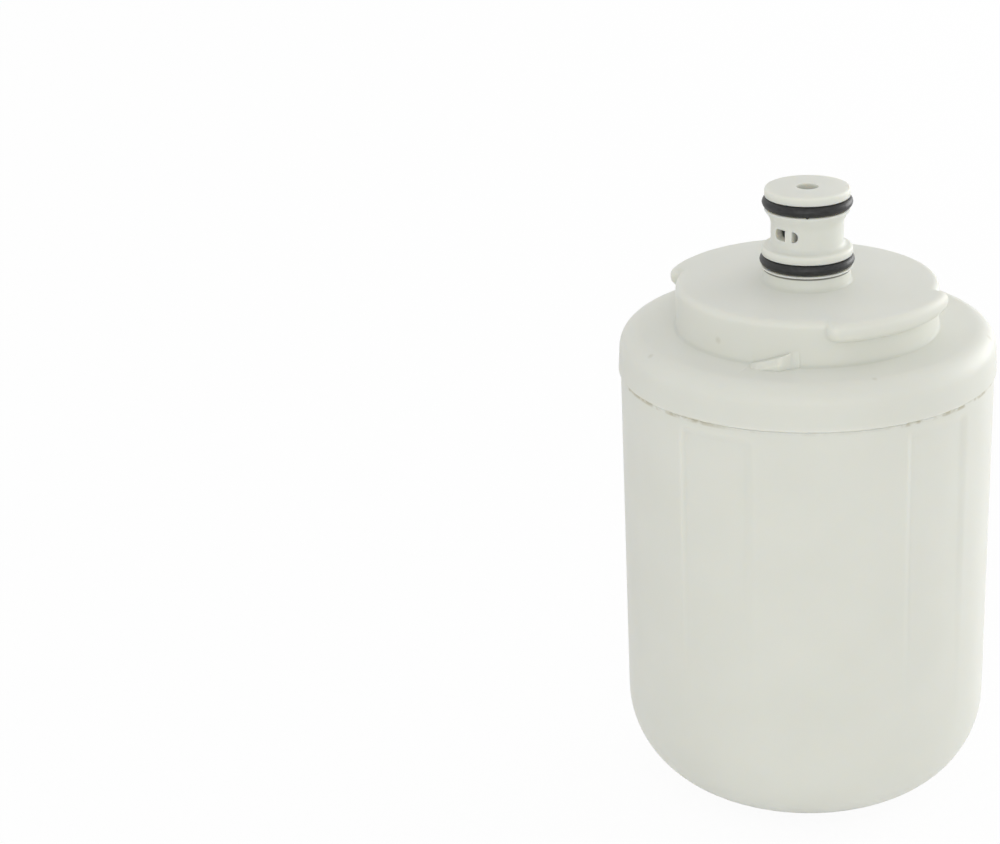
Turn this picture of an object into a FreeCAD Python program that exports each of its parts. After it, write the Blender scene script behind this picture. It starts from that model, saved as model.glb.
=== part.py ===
import FreeCAD, Part
import math
import os

# A twist-in water filter cartridge for a refrigerator.
# A moulded bowl and a moulded head are welded together round a carbon block between two end caps.
# Water enters the side ports of the spigot, runs down round the outlet tube and out over the top end cap.
# It then passes inwards through the felt wrap and the block, and leaves by the core, the nipple and the tube.
# Lengths are millimetres. The origin is the centre of the foot, +Z is up the axis, and -Y is the front.
# Angles are degrees about the axis, counted from the front towards +X.

# Housing bowl
BOWL_HEIGHT = 107.0
BOWL_RIM_R = 44.3
BOWL_DRAFT = 0.45
BOWL_WALL = 3.0
BASE_ROUND = 23.5
FOOT_RECESS_R = 13.0
FOOT_RECESS_DEPTH = 0.8
GATE_PIP_R = 2.0
GATE_PIP_HEIGHT = 0.4
RIM_LAND = 1.5
TONGUE_HEIGHT = 3.0
SEAM_CHAMFER = 0.3

# Grip flutes in the bowl's side
FLUTE_COUNT = 5
FLUTE_ANGLE = -27.75
FLUTE_SPAN = 25.7
FLUTE_DEPTH = 0.65
FLUTE_WALL_RUN = 0.5
FLUTE_RIM_GAP = 2.0

# Head: skirt, shoulder and neck
LIP_OVERHANG = 0.55
SKIRT_DRAFT = 3.0
SHOULDER_HEIGHT = 10.5
SHOULDER_ROUND = 5.0
HEAD_WALL = 2.8
NECK_R = 31.0
NECK_HEIGHT = 11.0
NECK_EDGE_ROUND = 1.7
NECK_ROOT_ROUND = 0.3

# Bayonet lugs on the neck, and the ramps at its foot
BAYONET_COUNT = 2
LUG_ANGLE = 43.0
LUG_SPAN = 68.0
LUG_OVERHANG = 3.0
LUG_HEIGHT = 4.9
LUG_END_ROUND = 2.1
LUG_ROOT_ROUND = 0.8
LUG_EDGE_ROUND = 1.0
RAMP_ANGLE = -13.3
RAMP_SPAN = 20.6
RAMP_DEPTH = 3.0
RAMP_HEIGHT = 4.2
RAMP_TIP = 0.3
RAMP_END_ROUND = 2.5

# Spigot and its two seals
RING_CORD_R = 1.31
LOWER_RING_R = 11.18
LOWER_RING_PROUD = 0.45
UPPER_RING_R = 10.66
UPPER_RING_PROUD = 0.6
COLLAR_HEIGHT = 3.9
COLLAR_INSET = 0.4
COLLAR_LIP_HEIGHT = 0.45
COLLAR_ROOT_ROUND = 0.3
LOWER_LAND_HEIGHT = 2.0
LOWER_LAND_ROUND = 0.8
WAIST_DEPTH = 1.5
WAIST_HEIGHT = 6.6
WAIST_ROUND = 1.2
FLARE_ROUND = 4.0
FLARE_HEIGHT = 2.1
UPPER_LAND_HEIGHT = 0.5
TOP_LAND_HEIGHT = 2.1
TOP_LAND_ROUND = 0.6
LAND_ROUND = 0.25
SPIGOT_WALL = 1.8
SPIGOT_ROOF = 1.4

# Inlet ports, outlet tube and the ribs that hold it
PORT_COUNT = 2
PORT_ANGLE = -37.2
PORT_SPAN = 45.4
PORT_HEIGHT = 2.7
PORT_CORNER = 1.25
PORT_RISE = 4.0
RIB_ANGLE = -30.9
RIB_THICKNESS = 1.8
OUTLET_R = 2.6
TUBE_WALL = 1.3

# Socket under the tube, the nipple that plugs into it, and its seal
SOCKET_R = 5.0
SOCKET_WALL = 2.0
SOCKET_DEPTH = 9.0
SOCKET_GAP = 1.5
NIPPLE_TIP_GAP = 1.0
NIPPLE_BORE_R = 2.0
NIPPLE_RING_CORD_R = 0.89
NIPPLE_RING_DEPTH = 4.0
NIPPLE_FIT = 0.3

# Filter element
FLOW_GAP = 5.5
BASE_GAP = 2.0
OVER_CAP_GAP = 4.5
WRAP_THICKNESS = 1.6
CORE_R = 8.0
CORE_WALL = 1.0
CORE_HOLE_R = 2.0
CORE_HOLE_ROWS = 7
CORE_HOLE_STAGGER = 45.0
END_CAP_WALL = 2.2
END_CAP_SKIRT = 6.0
END_CAP_ROUND = 0.8
BOND_THICKNESS = 0.8
STAND_INSET = 3.0
STAND_THICKNESS = 2.0

# Fits, and how far a moulded feature is sunk into the wall it grows from
WELD_FIT = 0.1
RING_FIT = 0.05
RING_SIDE_FIT = 0.18
ELEMENT_FIT = 0.1
ROOT = 0.5

ORIGIN = FreeCAD.Vector(0, 0, 0)
AXIS = FreeCAD.Vector(0, 0, 1)

# Radii and heights that follow from those sizes
bowl_slope = math.tan(math.radians(BOWL_DRAFT))
bowl_foot_r = BOWL_RIM_R - BOWL_HEIGHT * bowl_slope
bowl_rim_inner_r = BOWL_RIM_R - BOWL_WALL
tongue_r = BOWL_RIM_R - RIM_LAND
skirt_inner_r = tongue_r + WELD_FIT
lip_r = BOWL_RIM_R + LIP_OVERHANG
shoulder_r = lip_r - SHOULDER_HEIGHT * math.tan(math.radians(SKIRT_DRAFT))
shoulder_z = BOWL_HEIGHT + SHOULDER_HEIGHT
shoulder_under_z = shoulder_z - HEAD_WALL
neck_z = shoulder_z + NECK_HEIGHT
neck_under_z = neck_z - HEAD_WALL

groove_height = 2 * RING_CORD_R + RING_SIDE_FIT
lower_land_r = LOWER_RING_R - LOWER_RING_PROUD
collar_r = lower_land_r - COLLAR_INSET
upper_land_r = UPPER_RING_R - UPPER_RING_PROUD
lower_floor_r = LOWER_RING_R - 2 * RING_CORD_R - RING_FIT
upper_floor_r = UPPER_RING_R - 2 * RING_CORD_R - RING_FIT
waist_r = upper_land_r - WAIST_DEPTH
spigot_bore_r = min(lower_floor_r, upper_floor_r) - SPIGOT_WALL
lower_groove_z = neck_z + COLLAR_HEIGHT
collar_lip_z = lower_groove_z - COLLAR_LIP_HEIGHT
lower_land_z = lower_groove_z + groove_height
waist_z = lower_land_z + LOWER_LAND_HEIGHT
flare_z = waist_z + WAIST_HEIGHT
upper_land_z = flare_z + FLARE_HEIGHT
upper_groove_z = upper_land_z + UPPER_LAND_HEIGHT
top_land_z = upper_groove_z + groove_height
top_z = top_land_z + TOP_LAND_HEIGHT
annulus_roof_z = upper_groove_z - SPIGOT_ROOF
tube_r = OUTLET_R + TUBE_WALL

wrap_r = bowl_foot_r - BOWL_WALL - FLOW_GAP
block_r = wrap_r - WRAP_THICKNESS
floor_flat_r = bowl_foot_r - BASE_ROUND
floor_round = BASE_ROUND - BOWL_WALL
stand_z = BASE_ROUND - math.sqrt(floor_round ** 2 - (wrap_r + BASE_GAP - floor_flat_r) ** 2)
lower_bond_z = stand_z + END_CAP_WALL
block_z = lower_bond_z + BOND_THICKNESS
top_cap_z = shoulder_under_z - OVER_CAP_GAP
top_cap_under_z = top_cap_z - END_CAP_WALL
block_top_z = top_cap_under_z - BOND_THICKNESS
wrap_z = lower_bond_z + END_CAP_SKIRT
wrap_top_z = top_cap_under_z - END_CAP_SKIRT

socket_z = top_cap_z + SOCKET_GAP
socket_roof_z = socket_z + SOCKET_DEPTH
nipple_r = SOCKET_R - NIPPLE_FIT
nipple_tip_z = socket_roof_z - NIPPLE_TIP_GAP
nipple_ring_r = SOCKET_R - RING_FIT
nipple_floor_r = nipple_ring_r - 2 * NIPPLE_RING_CORD_R - RING_FIT
nipple_ring_z = socket_z + NIPPLE_RING_DEPTH
nipple_groove_half = NIPPLE_RING_CORD_R + RING_SIDE_FIT / 2


def rounded_wire(corners):
    """A closed wire in the XZ plane through corners (r, z, round), each round an arc tangent to its sides."""
    points = [FreeCAD.Vector(r, 0, z) for r, z, _ in corners]
    count = len(points)
    arcs = []
    for i, (_, _, radius) in enumerate(corners):
        point = points[i]
        if radius == 0:
            arcs.append((point, point, point))
            continue
        back = (points[i - 1] - point).normalize()
        ahead = (points[(i + 1) % count] - point).normalize()
        half_angle = back.getAngle(ahead) / 2
        reach = radius / math.tan(half_angle)
        depth = radius / math.sin(half_angle) - radius
        inwards = (back + ahead).normalize()
        arcs.append((point + back * reach, point + inwards * depth, point + ahead * reach))
    edges = []
    for i, (start, middle, end) in enumerate(arcs):
        if start != end:
            edges.append(Part.Arc(start, middle, end).toShape())
        edges.append(Part.LineSegment(end, arcs[(i + 1) % count][0]).toShape())
    return Part.Wire(edges)


def turned(corners, degrees=360.0):
    """A solid of revolution about the axis, from corners (r, z) or (r, z, round)."""
    full = [corner if len(corner) == 3 else (*corner, 0) for corner in corners]
    return Part.Face(rounded_wire(full)).revolve(ORIGIN, AXIS, degrees)


def facing(shape, angle):
    """The shape, drawn along +X, turned about the axis to face that angle."""
    placed = shape.copy()
    placed.rotate(ORIGIN, AXIS, angle - 90)
    return placed


def spread(shape, first_angle, count):
    """Copies of a shape drawn along +X, spaced evenly round the axis from the first angle."""
    return [facing(shape, first_angle + 360 * i / count) for i in range(count)]


def ring(outer_r, cord_r, z):
    """A seal of round section, with its middle plane at that height."""
    return Part.makeTorus(outer_r - cord_r, cord_r, FreeCAD.Vector(0, 0, z), AXIS)


def tube(outer_r, inner_r, bottom_z, top_z):
    """A plain hollow cylinder about the axis."""
    return turned([(inner_r, bottom_z), (outer_r, bottom_z), (outer_r, top_z), (inner_r, top_z)])


def polar(radius, radians):
    """A point at height zero, at that distance from the axis and angle from +X."""
    return FreeCAD.Vector(radius * math.cos(radians), radius * math.sin(radians), 0)


def flute_cutter():
    """The space of one grip flute: a round floor with sloping side walls, open to the outside."""
    floor_r = BOWL_RIM_R - FLUTE_DEPTH
    mouth_r = BOWL_RIM_R + FLUTE_DEPTH
    half_span = math.radians(FLUTE_SPAN / 2)
    wall_turn = FLUTE_WALL_RUN / BOWL_RIM_R
    floor_end = half_span - wall_turn
    mouth_end = half_span + wall_turn
    floor = Part.Arc(polar(floor_r, -floor_end), polar(floor_r, 0), polar(floor_r, floor_end))
    mouth = Part.Arc(polar(mouth_r, mouth_end), polar(mouth_r, 0), polar(mouth_r, -mouth_end))
    right = Part.LineSegment(polar(floor_r, floor_end), polar(mouth_r, mouth_end))
    left = Part.LineSegment(polar(mouth_r, -mouth_end), polar(floor_r, -floor_end))
    outline = Part.Wire([side.toShape() for side in (floor, right, mouth, left)])
    return Part.Face(outline).extrude(FreeCAD.Vector(0, 0, BOWL_HEIGHT - FLUTE_RIM_GAP))


def housing_bowl():
    """The cup: foot with a gate recess, big base round, drafted wall, and the rim's land and weld tongue."""
    floor_inner_r = bowl_foot_r - BOWL_WALL
    rim_z = BOWL_HEIGHT - SEAM_CHAMFER
    body = turned([
        (0, BOWL_WALL),
        (floor_inner_r, BOWL_WALL, floor_round),
        (bowl_rim_inner_r, BOWL_HEIGHT),
        (bowl_rim_inner_r, BOWL_HEIGHT + TONGUE_HEIGHT),
        (tongue_r, BOWL_HEIGHT + TONGUE_HEIGHT),
        (tongue_r, BOWL_HEIGHT),
        (BOWL_RIM_R - SEAM_CHAMFER, BOWL_HEIGHT),
        (BOWL_RIM_R - SEAM_CHAMFER * bowl_slope, rim_z),
        (bowl_foot_r, 0, BASE_ROUND),
        (FOOT_RECESS_R, 0),
        (FOOT_RECESS_R - FOOT_RECESS_DEPTH, FOOT_RECESS_DEPTH),
        (GATE_PIP_R, FOOT_RECESS_DEPTH),
        (GATE_PIP_R, FOOT_RECESS_DEPTH - GATE_PIP_HEIGHT),
        (0, FOOT_RECESS_DEPTH - GATE_PIP_HEIGHT),
    ])
    return body.cut(spread(flute_cutter(), FLUTE_ANGLE, FLUTE_COUNT))


def head_shell():
    """The head's turned form: spigot, neck, shoulder and skirt outside, and the tube and socket inside."""
    lip_z = BOWL_HEIGHT + SEAM_CHAMFER
    lip_edge_r = lip_r - SEAM_CHAMFER * math.tan(math.radians(SKIRT_DRAFT))
    socket_outer_r = SOCKET_R + SOCKET_WALL
    neck_inner_r = NECK_R - HEAD_WALL
    return turned([
        (OUTLET_R, top_z),
        (upper_land_r, top_z, TOP_LAND_ROUND),
        (upper_land_r, top_land_z, LAND_ROUND),
        (upper_floor_r, top_land_z),
        (upper_floor_r, upper_groove_z),
        (upper_land_r, upper_groove_z, LAND_ROUND / 2),
        (upper_land_r, upper_land_z, LAND_ROUND),
        (waist_r, flare_z, FLARE_ROUND),
        (waist_r, waist_z, WAIST_ROUND),
        (lower_land_r, waist_z, LOWER_LAND_ROUND),
        (lower_land_r, lower_land_z, LAND_ROUND),
        (lower_floor_r, lower_land_z),
        (lower_floor_r, lower_groove_z),
        (lower_land_r, lower_groove_z, LAND_ROUND / 2),
        (lower_land_r, collar_lip_z, LAND_ROUND / 2),
        (collar_r, collar_lip_z),
        (collar_r, neck_z, COLLAR_ROOT_ROUND),
        (NECK_R, neck_z, NECK_EDGE_ROUND),
        (NECK_R, shoulder_z, NECK_ROOT_ROUND),
        (shoulder_r, shoulder_z, SHOULDER_ROUND),
        (lip_edge_r, lip_z),
        (lip_r - SEAM_CHAMFER, BOWL_HEIGHT),
        (skirt_inner_r, BOWL_HEIGHT),
        (skirt_inner_r, shoulder_under_z),
        (neck_inner_r, shoulder_under_z),
        (neck_inner_r, neck_under_z),
        (spigot_bore_r, neck_under_z),
        (spigot_bore_r, annulus_roof_z),
        (tube_r, annulus_roof_z),
        (tube_r, socket_roof_z + SOCKET_WALL),
        (socket_outer_r, socket_roof_z),
        (socket_outer_r, socket_z),
        (SOCKET_R, socket_z),
        (SOCKET_R, socket_roof_z),
        (OUTLET_R, socket_roof_z),
    ])


def is_upright(edge):
    """Whether the edge runs along the axis."""
    return edge.BoundBox.ZLength > 1e-3


def middle_of(edge):
    """The point half way along the edge."""
    return edge.valueAt((edge.FirstParameter + edge.LastParameter) / 2)


def reach(edge):
    """How far the edge's middle lies from the axis."""
    middle = middle_of(edge)
    return math.hypot(middle.x, middle.y)


def stands_out(edge):
    """Whether the edge lies outside the neck."""
    return reach(edge) > NECK_R + ROOT


def neck_sector(overhang, span, bottom, top):
    """A stretch of a rib round the neck, centred on +X and sunk into the neck's wall."""
    outer_r = NECK_R + overhang
    inner_r = NECK_R - (NECK_EDGE_ROUND + HEAD_WALL) / 2
    rib = turned([(inner_r, bottom), (outer_r, bottom), (outer_r, top), (inner_r, top)], span)
    return facing(rib, 90 - span / 2)


def in_lug_corner(rim, edge):
    """Whether a flat lug end rises from the neck's wall along the edge."""
    flat = [face for face in rim.ancestorsOfType(edge, Part.Face) if isinstance(face.Surface, Part.Plane)]
    return is_upright(edge) and len(flat) == 1 and NECK_R - ROOT < reach(edge) < NECK_R + ROOT


def neck_rim():
    """The top of the neck's wall with the bayonet lugs on it, rounded along their common outline."""
    bottom = neck_z - LUG_HEIGHT
    lugs = spread(neck_sector(LUG_OVERHANG, LUG_SPAN, bottom, neck_z), LUG_ANGLE, BAYONET_COUNT)
    rim = neck_sector(0, 360, bottom, neck_z).fuse(lugs).removeSplitter()
    ends = [edge for edge in rim.Edges if is_upright(edge) and stands_out(edge)]
    rim = rim.makeFillet(LUG_END_ROUND, ends)
    roots = [edge for edge in rim.Edges if in_lug_corner(rim, edge)]
    rim = rim.makeFillet(LUG_ROOT_ROUND, roots)
    outline = [edge for edge in rim.Edges if not is_upright(edge) and reach(edge) > NECK_R - ROOT]
    rim = rim.makeFillet(NECK_EDGE_ROUND, [edge for edge in outline if middle_of(edge).z > neck_z - ROOT])
    under = [edge for edge in rim.Edges if not is_upright(edge) and stands_out(edge)]
    return rim.makeFillet(LUG_EDGE_ROUND, [edge for edge in under if middle_of(edge).z < bottom + ROOT])


def bayonet_ramp():
    """One wedge at the foot of the neck that rises with growing angle between two rounded corners."""
    foot_z = shoulder_z - ROOT
    peak_z = shoulder_z + RAMP_HEIGHT
    block = neck_sector(RAMP_DEPTH, RAMP_SPAN, foot_z, peak_z)
    ends = [edge for edge in block.Edges if is_upright(edge) and stands_out(edge)]
    block = block.makeFillet(RAMP_END_ROUND, ends)
    outer_r = NECK_R + RAMP_DEPTH
    half_length = outer_r * math.sin(math.radians(RAMP_SPAN / 2))
    tip = FreeCAD.Vector(0, -half_length, shoulder_z + RAMP_TIP)
    peak = FreeCAD.Vector(0, half_length, peak_z)
    heel = FreeCAD.Vector(0, half_length, foot_z)
    toe = FreeCAD.Vector(0, -half_length, foot_z)
    side = Part.Face(Part.makePolygon([tip, peak, heel, toe, tip]))
    return block.common(side.extrude(FreeCAD.Vector(outer_r + ROOT, 0, 0)))


def port_cutter():
    """The space of one inlet port: a slot with round ends through the spigot's waist, less a bar across it."""
    width = 2 * waist_r * math.sin(math.radians(PORT_SPAN / 2))
    inner_r = (tube_r + spigot_bore_r) / 2
    outer_r = max(LOWER_RING_R, UPPER_RING_R)
    bottom_z = waist_z + PORT_RISE - PORT_HEIGHT / 2
    slot = Part.makeBox(outer_r - inner_r, width, PORT_HEIGHT, FreeCAD.Vector(inner_r, -width / 2, bottom_z))
    corners = [edge for edge in slot.Edges if edge.BoundBox.XLength > 1e-3]
    slot = slot.makeFillet(PORT_CORNER, corners)
    bar = Part.makeBox(outer_r + ROOT, RIB_THICKNESS, PORT_HEIGHT,
                       FreeCAD.Vector(0, -RIB_THICKNESS / 2, bottom_z))
    bar.rotate(ORIGIN, AXIS, RIB_ANGLE - PORT_ANGLE)
    return slot.cut(bar)


def tube_rib():
    """One rib between the outlet tube and the spigot's wall, behind the bar across a port."""
    inner_r = tube_r - ROOT
    return Part.makeBox(spigot_bore_r + ROOT - inner_r, RIB_THICKNESS, annulus_roof_z + ROOT - neck_under_z,
                        FreeCAD.Vector(inner_r, -RIB_THICKNESS / 2, neck_under_z))


def head_cap():
    """The head: its turned shell with ports cut, then the ribs, ramps and lugged rim that are moulded on."""
    shell = head_shell().cut(spread(port_cutter(), PORT_ANGLE, PORT_COUNT))
    ribs = spread(tube_rib(), RIB_ANGLE, PORT_COUNT)
    ramps = spread(bayonet_ramp(), RAMP_ANGLE, BAYONET_COUNT)
    return shell.fuse(ribs + ramps + [neck_rim()]).removeSplitter()


def top_end_cap():
    """The block's upper cap: a plate with a skirt round the block, and the nipple with its seal groove."""
    skirt_r = block_r + ELEMENT_FIT
    return turned([
        (NIPPLE_BORE_R, top_cap_under_z),
        (skirt_r, top_cap_under_z),
        (skirt_r, wrap_top_z),
        (wrap_r, wrap_top_z),
        (wrap_r, top_cap_z, END_CAP_ROUND),
        (nipple_r, top_cap_z),
        (nipple_r, nipple_ring_z - nipple_groove_half),
        (nipple_floor_r, nipple_ring_z - nipple_groove_half),
        (nipple_floor_r, nipple_ring_z + nipple_groove_half),
        (nipple_r, nipple_ring_z + nipple_groove_half),
        (nipple_r, nipple_tip_z, END_CAP_ROUND),
        (NIPPLE_BORE_R, nipple_tip_z),
    ])


def bottom_end_cap():
    """The block's lower cap: a closed plate with a skirt, on a crossed stand that rests on the bowl."""
    skirt_r = block_r + ELEMENT_FIT
    plate = turned([
        (0, stand_z),
        (wrap_r, stand_z, END_CAP_ROUND),
        (wrap_r, wrap_z),
        (skirt_r, wrap_z),
        (skirt_r, lower_bond_z),
        (0, lower_bond_z),
    ])
    stand_r = floor_flat_r - STAND_INSET
    height = stand_z + ROOT - BOWL_WALL
    wall = Part.makeBox(2 * stand_r, STAND_THICKNESS, height,
                        FreeCAD.Vector(-stand_r, -STAND_THICKNESS / 2, BOWL_WALL))
    return plate.fuse([facing(wall, 0), facing(wall, 90)]).removeSplitter()


def core_tube():
    """The perforated tube in the block's bore, with rows of crossed holes, each row turned from the last."""
    body = tube(CORE_R, CORE_R - CORE_WALL, block_z, block_top_z)
    pitch = (block_top_z - block_z) / CORE_HOLE_ROWS
    holes = []
    for row in range(CORE_HOLE_ROWS):
        z = block_z + pitch * (row + 0.5)
        drill = Part.makeCylinder(CORE_HOLE_R, 2 * CORE_R + 2 * ROOT,
                                  FreeCAD.Vector(-CORE_R - ROOT, 0, z), FreeCAD.Vector(1, 0, 0))
        first = CORE_HOLE_STAGGER * (row % 2)
        holes += [facing(drill, first), facing(drill, first + 90)]
    return body.cut(holes)


parts = {
    "housing_bowl": housing_bowl(),
    "head_cap": head_cap(),
    "upper_o_ring": ring(UPPER_RING_R, RING_CORD_R, upper_groove_z + groove_height / 2),
    "lower_o_ring": ring(LOWER_RING_R, RING_CORD_R, lower_groove_z + groove_height / 2),
    "carbon_block": tube(block_r, CORE_R + ELEMENT_FIT, block_z, block_top_z),
    "core_tube": core_tube(),
    "prefilter_wrap": tube(wrap_r, block_r + ELEMENT_FIT, wrap_z, wrap_top_z),
    "top_end_cap": top_end_cap(),
    "bottom_end_cap": bottom_end_cap(),
    "nipple_o_ring": ring(nipple_ring_r, NIPPLE_RING_CORD_R, nipple_ring_z),
    "upper_bond_ring": tube(block_r, CORE_R - CORE_WALL, block_top_z, top_cap_under_z),
    "lower_bond_disc": Part.makeCylinder(block_r, BOND_THICKNESS, FreeCAD.Vector(0, 0, lower_bond_z)),
}

os.makedirs("parts", exist_ok=True)
for name, shape in parts.items():
    shape.exportStep(f"parts/{name}.step")
    print(name, shape.ShapeType, len(shape.Solids), "solid", round(shape.Volume), "mm3", shape.isValid())
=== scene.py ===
# %% [markdown]
# # A twist-in water filter cartridge
#
# This lesson dresses a water filter cartridge for a refrigerator. The imported model already holds every
# piece at its real size and place, so none of them is moved or resized. We load that model first, and a few
# heights are read from the boxes of its pieces. Sizes are written in millimetres, as on a drawing, and MM
# turns them into Blender's metres. Angles are in degrees about the upright axis, counted from the front
# towards +X.

# %% Load the frame
import math

import bpy
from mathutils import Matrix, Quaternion, Vector


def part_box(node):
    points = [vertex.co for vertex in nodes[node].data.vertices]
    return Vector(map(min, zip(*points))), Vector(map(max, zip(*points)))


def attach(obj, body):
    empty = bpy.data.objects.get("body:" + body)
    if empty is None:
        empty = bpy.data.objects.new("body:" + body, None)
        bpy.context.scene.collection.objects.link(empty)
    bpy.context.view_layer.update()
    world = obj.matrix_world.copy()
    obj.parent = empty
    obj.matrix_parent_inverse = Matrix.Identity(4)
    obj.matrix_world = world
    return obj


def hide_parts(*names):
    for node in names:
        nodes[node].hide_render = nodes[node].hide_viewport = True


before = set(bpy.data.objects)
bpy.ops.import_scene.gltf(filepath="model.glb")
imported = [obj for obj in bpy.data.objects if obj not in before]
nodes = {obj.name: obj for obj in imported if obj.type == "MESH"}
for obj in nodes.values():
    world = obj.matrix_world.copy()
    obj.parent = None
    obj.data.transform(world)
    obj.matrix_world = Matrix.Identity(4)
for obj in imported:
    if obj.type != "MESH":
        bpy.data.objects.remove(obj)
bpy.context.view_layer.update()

MM = 0.001

print("nodes:", sorted(nodes))

# %% [markdown]
# ## Working by hand, in code
#
# Blender's edit-mode operators act on whatever is selected. Loading the model leaves all of its nodes
# selected, so a step that forgets to deselect would change them too. These helpers start and end the
# shaping of a piece.

# %% Helpers for shaping a piece
def activate(piece):
    """Make this piece the only selected one, in object mode."""
    if bpy.context.mode != "OBJECT":
        bpy.ops.object.mode_set(mode="OBJECT")
    bpy.ops.object.select_all(action="DESELECT")
    if piece:
        piece.select_set(True)
        bpy.context.view_layer.objects.active = piece


def edit_where(piece, test):
    """Open edit mode with the vertices selected whose place, in mm, passes the test."""
    activate(piece)
    bpy.ops.object.mode_set(mode="EDIT")
    bpy.ops.mesh.select_mode(type="VERT")
    bpy.ops.mesh.select_all(action="DESELECT")
    bpy.ops.object.mode_set(mode="OBJECT")
    for vertex in piece.data.vertices:
        vertex.select = test(vertex.co / MM)
    bpy.ops.object.mode_set(mode="EDIT")


def settle(piece, name, smooth_angle):
    """Put the piece's place into its mesh, name it, and shade smoothly where faces meet below that angle."""
    activate(piece)
    bpy.ops.object.transform_apply(location=True, rotation=True, scale=True)
    bpy.ops.object.shade_smooth_by_angle(angle=math.radians(smooth_angle))
    piece.name = name
    piece.data.name = name
    print(name, "has", len(piece.data.polygons), "faces")

# %% [markdown]
# ## Turned shapes
#
# The bowl and the head are turned shapes with a few features added. A turned shape is drawn as half a
# section and spun about its axis. A drawing gives each corner of a section a round, so a helper turns
# corners with rounds into points. The points become a chain of edges, drawn by extruding one vertex again
# and again. The spin operator sweeps the chain through a quarter turn, and copies of the quarter close the
# circle, which is quicker than one long spin.

# %% Helpers for turned shapes
ARC_STEP = 0.5
LEAST_ARC_STEPS = 3
MOST_ARC_STEPS = 24
MERGE_GAP = 0.001


def rounded(corners):
    """Points (r, z) along a line through corners (r, z, round), with an arc wherever the round isn't zero."""
    points = []
    for i, (r, z, radius) in enumerate(corners):
        corner = Vector((r, z))
        if radius == 0:
            points.append(corner)
            continue
        back = (Vector(corners[i - 1][:2]) - corner).normalized()
        ahead = (Vector(corners[(i + 1) % len(corners)][:2]) - corner).normalized()
        half_angle = back.angle(ahead) / 2
        centre = corner + (back + ahead).normalized() * radius / math.sin(half_angle)
        first = (corner + back * radius / math.tan(half_angle) - centre).normalized()
        last = (corner + ahead * radius / math.tan(half_angle) - centre).normalized()
        steps = max(LEAST_ARC_STEPS, round(first.angle(last) * radius / ARC_STEP))
        steps = min(MOST_ARC_STEPS, steps)
        points += [centre + first.slerp(last, step / steps) * radius for step in range(steps + 1)]
    return points


def spun(points, turn, steps):
    """A turned shape: the chain of points (r, z), drawn in the upright plane at that angle and spun round."""
    activate(None)
    bpy.ops.mesh.primitive_plane_add(size=MM, location=(0, 0, 0))
    bpy.ops.object.mode_set(mode="EDIT")
    bpy.ops.mesh.select_mode(type="VERT")
    bpy.ops.mesh.select_all(action="SELECT")
    bpy.ops.mesh.merge(type="CENTER")
    side = math.sin(math.radians(turn))
    front = -math.cos(math.radians(turn))
    places = [Vector((r * side, r * front, z)) * MM for r, z in points]
    bpy.ops.transform.translate(value=places[0])
    for before, after in zip(places, places[1:]):
        bpy.ops.mesh.extrude_vertices_move(TRANSFORM_OT_translate={"value": after - before})
    bpy.ops.mesh.select_all(action="SELECT")
    bpy.ops.mesh.spin(steps=steps // 4, angle=math.pi / 2, center=(0, 0, 0), axis=(0, 0, 1))
    for angle in (90, 180):
        bpy.ops.mesh.select_all(action="SELECT")
        bpy.ops.mesh.duplicate()
        bpy.ops.transform.rotate(value=math.radians(angle), orient_axis="Z", center_override=(0, 0, 0))
    bpy.ops.mesh.select_all(action="SELECT")
    bpy.ops.mesh.remove_doubles(threshold=MERGE_GAP * MM)
    bpy.ops.mesh.normals_make_consistent(inside=False)
    bpy.ops.object.mode_set(mode="OBJECT")
    return bpy.context.object


def turn_of(place):
    """The place's angle about the axis."""
    return math.degrees(math.atan2(place.x, -place.y))


def reach_of(place):
    """The place's distance from the axis."""
    return math.hypot(place.x, place.y)


def move_out(vertex, new_r):
    """Move the vertex straight out from the axis, or in, to that radius in mm."""
    scale = new_r * MM / reach_of(vertex.co)
    vertex.co.x *= scale
    vertex.co.y *= scale

# %% [markdown]
# ## The bowl
#
# The real bowl is one injection moulding of polypropylene. Its side leans in by about half a degree, so
# that it leaves the mould, and its foot rolls in with a large round. A shallow recess in the foot hides
# the mark where the plastic entered the mould. At the rim stands the tongue that is melted into the head.
# The flutes come later, but the spin already starts at a flute's edge and has a row of points wherever a
# flute will bend.

# %% Spin the bowl
RIM_R = 44.3
RIM_LAND = 1.5
RIM_CHAMFER = 0.3
BOWL_WALL = 3.0
BASE_ROUND = 23.5
DRAFT = 0.45
FOOT_RECESS_R = 13.0
FOOT_RECESS_DEPTH = 0.8
GATE_PIP_R = 2.0
GATE_PIP_HEIGHT = 0.4
FLUTES = 5
FLUTE_CENTRE = -27.75
FLUTE_RIM_GAP = 2.0
FLUTE_END_RUN = 2.6
FLUTE_END_ROWS = 4
FLUTE_STEPS = 40
STEPS_PER_FLUTE = 112
SIDE_ROWS = 10

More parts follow.
